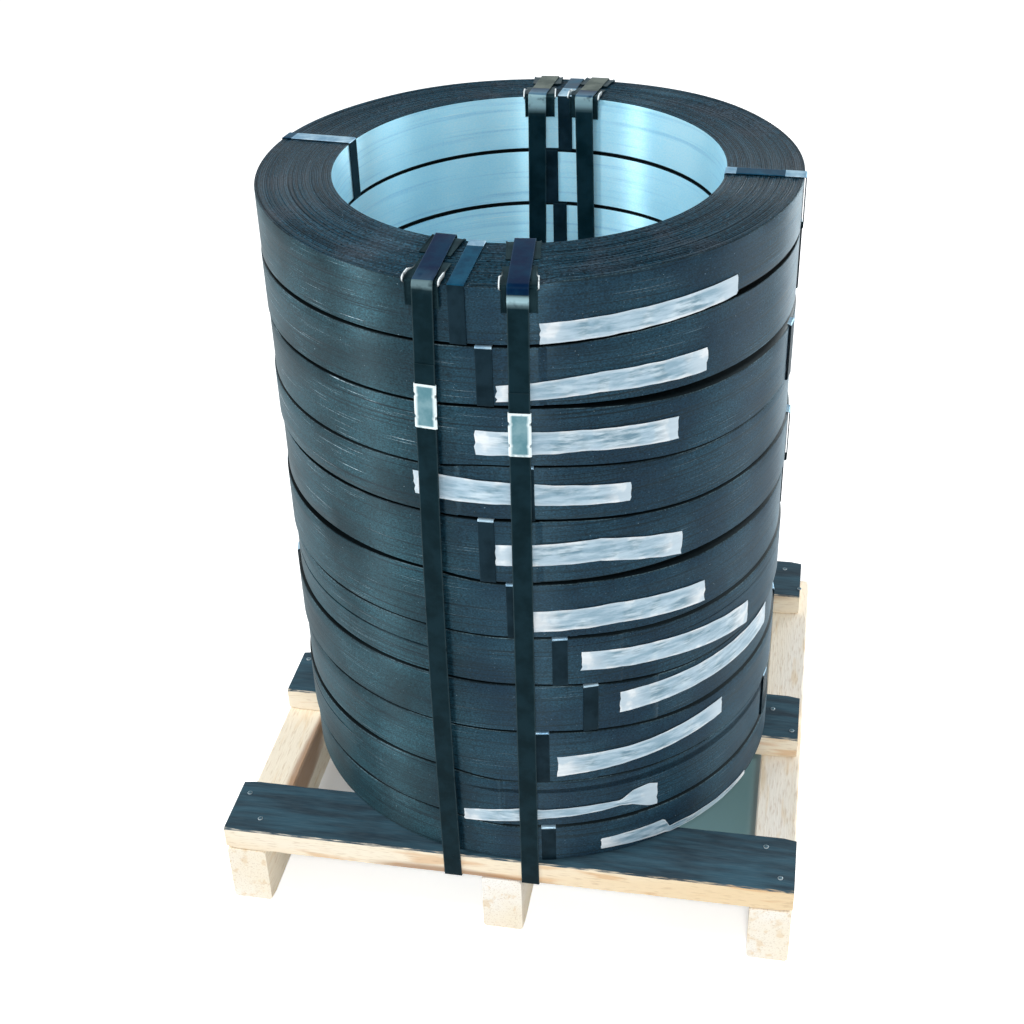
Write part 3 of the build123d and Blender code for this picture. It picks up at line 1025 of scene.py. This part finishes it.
def strap_finish(strap, point, out):
    """A strap's finish at a point of its loop, and how bright its painted highlight is there."""
    bend_distance, bend_height = strap["route"][0 if strap["side"] < 0 else 1]
    drop, reach, strength = strap["glint_spot"]
    below_bend = bend_height + STRAP_THICKNESS - point.y
    near_bend = abs(point.x - bend_distance) < 6.0
    # The spot below the top bend is painted highlight, carried in the wear channel to the bright edge
    # colour.
    painted_glint = strength * smoothstep(reach, 0.3 * reach, abs(below_bend - drop)) if near_bend else 0.0
    # Faces turned up, and the front bend down to the painted highlight, take blue steel as a painted
    # reflection of the sky; on the outer half of the back straps' tops they take grey-olive steel instead.
    if out.y > 0.8 or near_bend and below_bend < drop - reach / 2:
        olive_top = strap["side"] > 0 and point.x > 188.0
        return (OLIVE_STRAP if olive_top else BLUE_STRAP), painted_glint
    return BLACK_STRAP, painted_glint


def bent_binding_strap(name, strap):
    """A strap's loop over the stack, down its wall, under a deck board and up through the bore."""
    grown = grow_outline(strap["route"], STRAP_THICKNESS / 2)
    path = divided(rounded_path(grown, STRAP_BENDS, 8), 14.0)
    path = [point for start, end in zip(path, path[1:] + path[:1]) for point in finer_near_top(start, end)]
    centres = [strap_place(strap, point.x, point.y) for point in path]
    stations = []
    for i, (point, out) in enumerate(zip(path, loop_frames(path))):
        run = (centres[(i + 1) % len(centres)] - centres[i - 1]).normalized()
        outward = strap_turn(strap, point.x, point.y) @ Vector((0.0, strap["side"] * out.x, out.y))
        across, outward = squared(run, outward)
        stations.append((centres[i], across, outward, *strap_finish(strap, point, out)))
    return strip_loop("strap_" + name, "binding_strap_" + name, [stations], STRAP_FINISHES,
                      strip_section(STRAP_WIDTH, STRAP_THICKNESS))


def finer_near_top(start, end):
    """The start of a run, with more points along it where the run goes down from a top bend."""
    upright = abs(end.x - start.x) < 1.0
    near_top = max(start.y, end.y) > STACK_TOP - 28.0
    return divided([start, end], 2.5 if near_top and upright else 14.0, closed=False)[:-1]


def grow_outline(corners, amount):
    """The corners of a convex outline moved straight out by an amount."""
    grown = []
    count = len(corners)
    for i in range(count):
        here = Vector(corners[i])
        back = (here - Vector(corners[i - 1])).normalized()
        ahead = (Vector(corners[(i + 1) % count]) - here).normalized()
        out_back = Vector((back.y, -back.x))
        out_ahead = Vector((ahead.y, -ahead.x))
        middle = (out_back + out_ahead).normalized()
        grown.append(tuple(here + middle * (amount / middle.dot(out_back))))
    return grown


def outer_run(strap, height):
    """The distance of a strap's inner face from the axis on its outer run, at a height."""
    (top_d, top_z), (low_d, low_z) = strap["route"][0], strap["route"][-1]
    return between(low_d, top_d, (height - low_z) / (top_z - low_z))


def wall_run_frame(strap, distance, height):
    """The middle and directions of a strap on its run down the wall, at a distance from the axis."""
    centre = strap_place(strap, distance, height)
    run = (strap_place(strap, distance, height + 1.0) - centre).normalized()
    outward = strap_turn(strap, distance, height) @ Vector((0.0, float(strap["side"]), 0.0))
    across, outward = squared(run, outward)
    return centre, across, outward


def strap_tail(name, strap):
    """The upper end of a strap, lapped over the lower end at the seal and out past it at both sides."""
    reach = 35.0
    rows = 12
    section = strip_section(STRAP_WIDTH, STRAP_THICKNESS)
    vertices, wear = [], []
    for row in range(rows + 1):
        height = strap["seal_z"] + between(-reach, reach, row / rows)
        distance = outer_run(strap, height) + 1.5 * STRAP_THICKNESS + 0.04
        vertices += section_points(section, *wall_run_frame(strap, distance, height))
        wear += [worn * EDGE_WEAR for _, _, worn in section]
    faces = swept_faces(rows + 1, len(section), False)
    return piece("strap_lap_" + name, vertices, faces, [STRAP_FINISHES[BLACK_STRAP]],
                 wear=wear, crisp=60)


def seal_section(nip):
    """A seal's section as (across, out, wear), narrower and thicker where it is nipped, from 0 to 1."""
    half_depth = STRAP_THICKNESS + 0.1 + SEAL_WALL
    wide = SEAL_WIDTH / 2 - 0.8 * nip
    deep = half_depth + 0.15 * nip
    return [(-wide + 1.4, deep, 1), (-wide + 3.4, half_depth, 0), (wide - 3.4, half_depth, 0),
            (wide - 1.4, deep, 1), (wide - 0.3, deep - 0.7, 1), (wide, 0.5, 1), (wide, -0.5, 0),
            (wide - 0.3, -half_depth + 0.5, 0), (wide - 1.4, -half_depth, 0), (1.2, -half_depth, 0),
            (0.0, -half_depth + 0.3, 0), (-1.2, -half_depth, 0), (-wide + 1.4, -half_depth, 0),
            (-wide + 0.3, -half_depth + 0.5, 0), (-wide, -0.5, 0), (-wide, 0.5, 1),
            (-wide + 0.3, deep - 0.7, 1)]


def crimped_seal(name, strap):
    """A folded sleeve over both strap ends, nipped in at two notches on each side."""
    rows = 30
    vertices, wear = [], []
    for row in range(rows + 1):
        along = between(-SEAL_LENGTH / 2, SEAL_LENGTH / 2, row / rows)
        nip = max(notch_depth(along - SEAL_LENGTH / 4), notch_depth(along + SEAL_LENGTH / 4))
        flare = 1.0 + 0.12 / 9.0 if row in (0, rows) else 1.0
        section = [(a * flare, o * flare, worn) for a, o, worn in seal_section(nip)]
        height = strap["seal_z"] + along
        distance = outer_run(strap, height) + STRAP_THICKNESS
        vertices += section_points(section, *wall_run_frame(strap, distance, height))
        rim = row in (0, 1, rows - 1, rows)
        wear += [1.0 if rim else worn for _, _, worn in section]
    faces = swept_faces(rows + 1, len(section), False)
    return piece("seal_" + name, vertices, faces, [steels["pale seal metal"]], "strap_seal_" + name,
                 wear=wear, crisp=30)


def notch_depth(offset):
    """How far a notch bites in at this distance from its middle, from 0 to 1."""
    return max(0.0, 1.0 - abs(offset) / 2.0)


def plate_path(angle, end):
    """The middle line of a protector over the wall's top edge or over the edge of the bore."""
    half = PROTECTOR_THICKNESS / 2
    drop = top_drop(angle)
    slope = drop / (WALL_RADIUS - BORE_RADIUS)
    if end == "outer":
        edge, top, leg = WALL_RADIUS + 0.5 + half, STACK_TOP - drop + 0.5 + half, -PROTECTOR_LEG
    else:
        edge, top, leg = PROTECTOR_SEAT - 0.15 - half, STACK_TOP + 0.2 + half, PROTECTOR_LEG
    corners = [(edge + leg, top - slope * leg), (edge, top), (edge, top - PROTECTOR_DROP)]
    return divided(rounded_path(corners, (0, 2.7, 0), 6, closed=False), 5.0, closed=False)


def lipped_section(w, half, lip):
    """A protector's section as (across, out, wear): flat, with a lip turned up at each side.

    Its half width is w, half its thickness is half, and its lips stand as high as lip.
    """
    root = between(half, lip, 0.3)
    return [(-w, lip, 1), (-w, -half + 0.5, 0), (-w + 0.6, -half, 0), (w - 0.6, -half, 0),
            (w, -half + 0.5, 0), (w, lip, 1), (w - 0.9, lip, 1), (w - 1.0, root, 0), (w - 1.8, half, 0),
            (-w + 1.8, half, 0), (-w + 1.0, root, 0), (-w + 0.9, lip, 1)]


def bent_protector(name, strap, end):
    """A plate bent over a top edge under a strap, with both sides turned up near the bend."""
    outer = end == "outer"
    leg_middle = WALL_RADIUS - PROTECTOR_LEG / 2 if outer else PROTECTOR_SEAT + PROTECTOR_LEG / 2
    turn = degrees(atan2(strap_place(strap, leg_middle, STACK_TOP).x / MM, leg_middle))
    angle = strap["side"] * (90.0 - turn)
    half = PROTECTOR_THICKNESS / 2
    narrowed = 1.7
    radial = Vector((cos(radians(angle)), sin(radians(angle)), 0.0))
    across = Vector((-radial.y, radial.x, 0.0))
    path = plate_path(angle, end)
    last = len(path) - 1
    hidden = outer == (strap["side"] > 0)
    vertices, wear = [], []
    for i, point in enumerate(path):
        run = (path[min(i + 1, last)] - path[max(i - 1, 0)]).normalized()
        out = Vector((-run.y, run.x)) * (1 if outer else -1)
        outward = radial * out.x + Vector((0, 0, out.y))
        centre = on_wall(COIL_COUNT, angle, point.x, point.y)
        from_bend = abs(point.x - path[-1].x)
        turned_up = smoothstep(-0.15, 0.3, out.y) * smoothstep(16.0, 8.0, from_bend)
        lit = smoothstep(0.1, 0.6, out.y) * turned_up
        if hidden:
            turned_up, lit = 0.15 * turned_up, 0.0
        half_width = PROTECTOR_WIDTH / 2 - narrowed * (1.0 - turned_up)
        lip = between(half + 0.1, PROTECTOR_LIP - 0.4, turned_up * (0.5 if i in (0, last) else 1.0))
        lip = min(lip, (FRONT_REACH - point.x) / max(out.x, 0.01))
        section = lipped_section(half_width, half, lip)
        vertices += section_points(section, centre, across, outward)
        wear += [worn * lit for _, _, worn in section]
    faces = swept_faces(last + 1, len(section), False)
    return piece(f"protector_{name}_{end}", vertices, faces, [steels["edge plate steel"]],
                 f"edge_protector_{name}_{end}", wear=wear, crisp=40)


for name, strap in STRAPS.items():
    bent_binding_strap(name, strap)
    strap_tail(name, strap)
    crimped_seal(name, strap)
    for end in ("outer", "bore"):
        bent_protector(name, strap, end)


# Pallet

def sawn_timber(name, node_name, along, material, seed):
    """A sawn piece of timber that fills its CAD box, a little uneven, with eased and nicked edges."""
    low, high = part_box(node_name)
    across = 1 - along
    length = high[along] - low[along]
    stations = 44
    ease = 1.3 * MM
    vertices = []
    for i in range(stations + 1):
        share = i / stations
        place = low[along] + length * share
        end_ease = 0.7 * MM if i in (0, stations) else 0.0
        ring = []
        for side, top in ((0, 0), (1, 0), (1, 1), (0, 1)):
            wander = noise.noise((place * 9.0, side * 3.0 + top * 7.0, seed))
            nick = max(0.0, noise.noise((place * 55.0, side * 5.0 + top * 11.0, seed + 20.0)) - 0.25)
            cut = ease * (1.0 + 1.4 * nick) + end_ease
            inset = end_ease + 0.35 * MM * abs(wander)
            u = (low[across] + inset, high[across] - inset)[side]
            v = (low[2] + end_ease * (1 - top), high[2] - inset)[top]
            step_u = cut if side == 0 else -cut
            step_v = cut if top == 0 else -cut
            first, second = (u, v + step_v), (u + step_u, v)
            ring += [first, second] if (side, top) in ((0, 0), (1, 1)) else [second, first]
        for u, v in ring:
            point = [0.0, 0.0, v]
            point[along] = place
            point[across] = u
            vertices.append(Vector(point))
    faces = swept_faces(stations + 1, 8, False)
    return piece(name, vertices, faces, [material], node_name, crisp=25)


for place, seed in (("front", 8.5), ("middle", 10.2), ("back", 6.8)):
    sawn_timber("deck_" + place, "deck_board_" + place, 0, board_wood, seed)
for place, seed in (("left", 11.6), ("centre", 17.4), ("right", 14.5)):
    sawn_timber("bearer_" + place, "stringer_" + place, 1, stringer_wood, seed)


def nail_places():
    """Two places where each board crosses each stringer, a little out of line."""
    chance = random.Random(11)
    places = []
    for board in ("front", "middle", "back"):
        board_low, board_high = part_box("deck_board_" + board)
        for stringer in ("left", "centre", "right"):
            low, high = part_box("stringer_" + stringer)
            for across in (0.27, 0.73):
                x = between(low.x, high.x, across) + chance.uniform(-3, 3) * MM
                y = between(board_low.y, board_high.y, 1.0 - across) + chance.uniform(-6, 6) * MM
                places.append((x, y, board_high.z))
    return places


def nail_heads():
    """All the nails' low domed heads in one piece."""
    sides = 14
    radius = NAIL_RADIUS * MM
    vertices, faces, wear = [], [], []
    for x, y, top in nail_places():
        first = len(vertices)
        for ring, (reach, rise) in enumerate(NAIL_SECTION):
            for side in range(sides):
                turn = 2 * pi * side / sides
                vertices.append(Vector((x + radius * reach * cos(turn), y + radius * reach * sin(turn),
                                        top + rise * MM)))
                wear.append(1.0 if ring == 1 else 0.0)
        for ring in range(len(NAIL_SECTION) - 1):
            for side in range(sides):
                a = first + ring * sides + side
                b = first + ring * sides + (side + 1) % sides
                faces.append((a, b, b + sides, a + sides))
        faces.append(tuple(range(len(vertices) - sides, len(vertices))))
    return piece("nail_heads", vertices, faces, [steels["nail head steel"]], wear=wear, crisp=50)


nail_heads()


# Floor, light and camera

def seen_or_mirrored(tree):
    """Full where the camera looks straight at a thing, or sees it in shiny metal."""
    path = node(tree, "ShaderNodeLightPath").outputs
    return arithmetic(tree, "MAXIMUM", path["Is Camera Ray"], path["Is Glossy Ray"])


def under_pallet(tree, place):
    """Full on the ground under the pallet's middle, where it lies in deep shade, and none outside it."""
    where = axes(tree, place)
    shaded = 1.0
    for axis, middle, reach in (("X", 0.0, 0.26), ("Y", 0.035, 0.19)):
        offset = arithmetic(tree, "SUBTRACT", where[axis], middle)
        inside = limits(tree, arithmetic(tree, "ABSOLUTE", offset), reach, reach - 0.05)
        shaded = times(tree, inside, shaded)
    return shaded


def pale_floor():
    """A white floor that shows as plain white, but for the shade under the pallet."""
    reach, low = 9.0, -0.0002
    mesh = bpy.data.meshes.new("floor")
    corners = [(x * reach, y * reach, low) for x, y in ((-1, -1), (1, -1), (1, 1), (-1, 1))]
    mesh.from_pydata(corners, [], [(0, 1, 2, 3)])
    material, tree, shader = new_material("white floor", 0.9, 0.0, 0.0)
    place = object_place(tree)
    cloud = noise_mask(tree, place, 1.4, 2.0)
    pale = blend_colours(tree, cloud, (0.90, 0.90, 0.90, 1), (0.92, 0.92, 0.92, 1))
    under = under_pallet(tree, place)
    shaded = times(tree, under, limits(tree, axes(tree, place)["X"], 0.0, 0.1))
    feed(tree, shader.inputs["Base Color"], blend_colours(tree, shaded, pale, tint(148, 188, 194)))
    shader.inputs["Emission Color"].default_value = (1.0, 1.0, 1.0, 1.0)
    shown = times(tree, seen_or_mirrored(tree), arithmetic(tree, "SUBTRACT", 1.0, under))
    feed(tree, shader.inputs["Emission Strength"], times(tree, shown, 0.5))
    mesh.materials.append(material)
    obj = bpy.data.objects.new("floor", mesh)
    bpy.context.scene.collection.objects.link(obj)


def background(tree, colour, strength):
    """An even light from all round."""
    light = node(tree, "ShaderNodeBackground")
    light.inputs["Color"].default_value = colour
    light.inputs["Strength"].default_value = strength
    return light.outputs["Background"]


def studio_world():
    """White to the camera and in shiny metal, and a soft pale fill on the object."""
    world = bpy.data.worlds.new("studio")
    bpy.context.scene.world = world
    world.use_nodes = True
    tree = world.node_tree
    tree.nodes.clear()
    mix = node(tree, "ShaderNodeMixShader")
    feed(tree, mix.inputs["Fac"], seen_or_mirrored(tree))
    feed(tree, mix.inputs[1], background(tree, (0.90, 0.96, 1.0, 1.0), 0.5))
    feed(tree, mix.inputs[2], background(tree, (1.0, 1.0, 1.0, 1.0), 1.0))
    output = node(tree, "ShaderNodeOutputWorld")
    tree.links.new(mix.outputs["Shader"], output.inputs["Surface"])


def soft_lamp(name, place, aim, size, watts):
    """A round lamp turned towards its aim."""
    lamp = bpy.data.lights.new(name, "AREA")
    lamp.shape = "DISK"
    lamp.size = size
    lamp.energy = watts
    obj = bpy.data.objects.new(name, lamp)
    obj.location = place
    obj.rotation_euler = (Vector(aim) - Vector(place)).to_track_quat("-Z", "Y").to_euler()
    bpy.context.scene.collection.objects.link(obj)


def photo_camera():
    """The camera where the photograph was taken from, fitted to the rings of the top coil and the pallet."""
    right = Vector((0.983248, 0.17994, -0.029084))
    down = Vector((0.075462, -0.547097, -0.833661))
    ahead = Vector((-0.16592, 0.8175, -0.551511))
    focal_length, picture_width = 1604.74, 1024
    data = bpy.data.cameras.new("photo camera")
    data.sensor_width = 36.0
    data.lens = focal_length / picture_width * data.sensor_width
    data.clip_end = 60.0
    obj = bpy.data.objects.new("photo camera", data)
    turn = Matrix((right, -down, -ahead)).transposed()
    obj.matrix_world = Matrix.Translation((0.22513, -1.25164, 1.13881)) @ turn.to_4x4()
    bpy.context.scene.collection.objects.link(obj)
    bpy.context.scene.camera = obj


pale_floor()
studio_world()
for name, lamp in LAMPS.items():
    soft_lamp(name, *lamp)
photo_camera()

bpy.context.scene.view_settings.view_transform = "Standard"
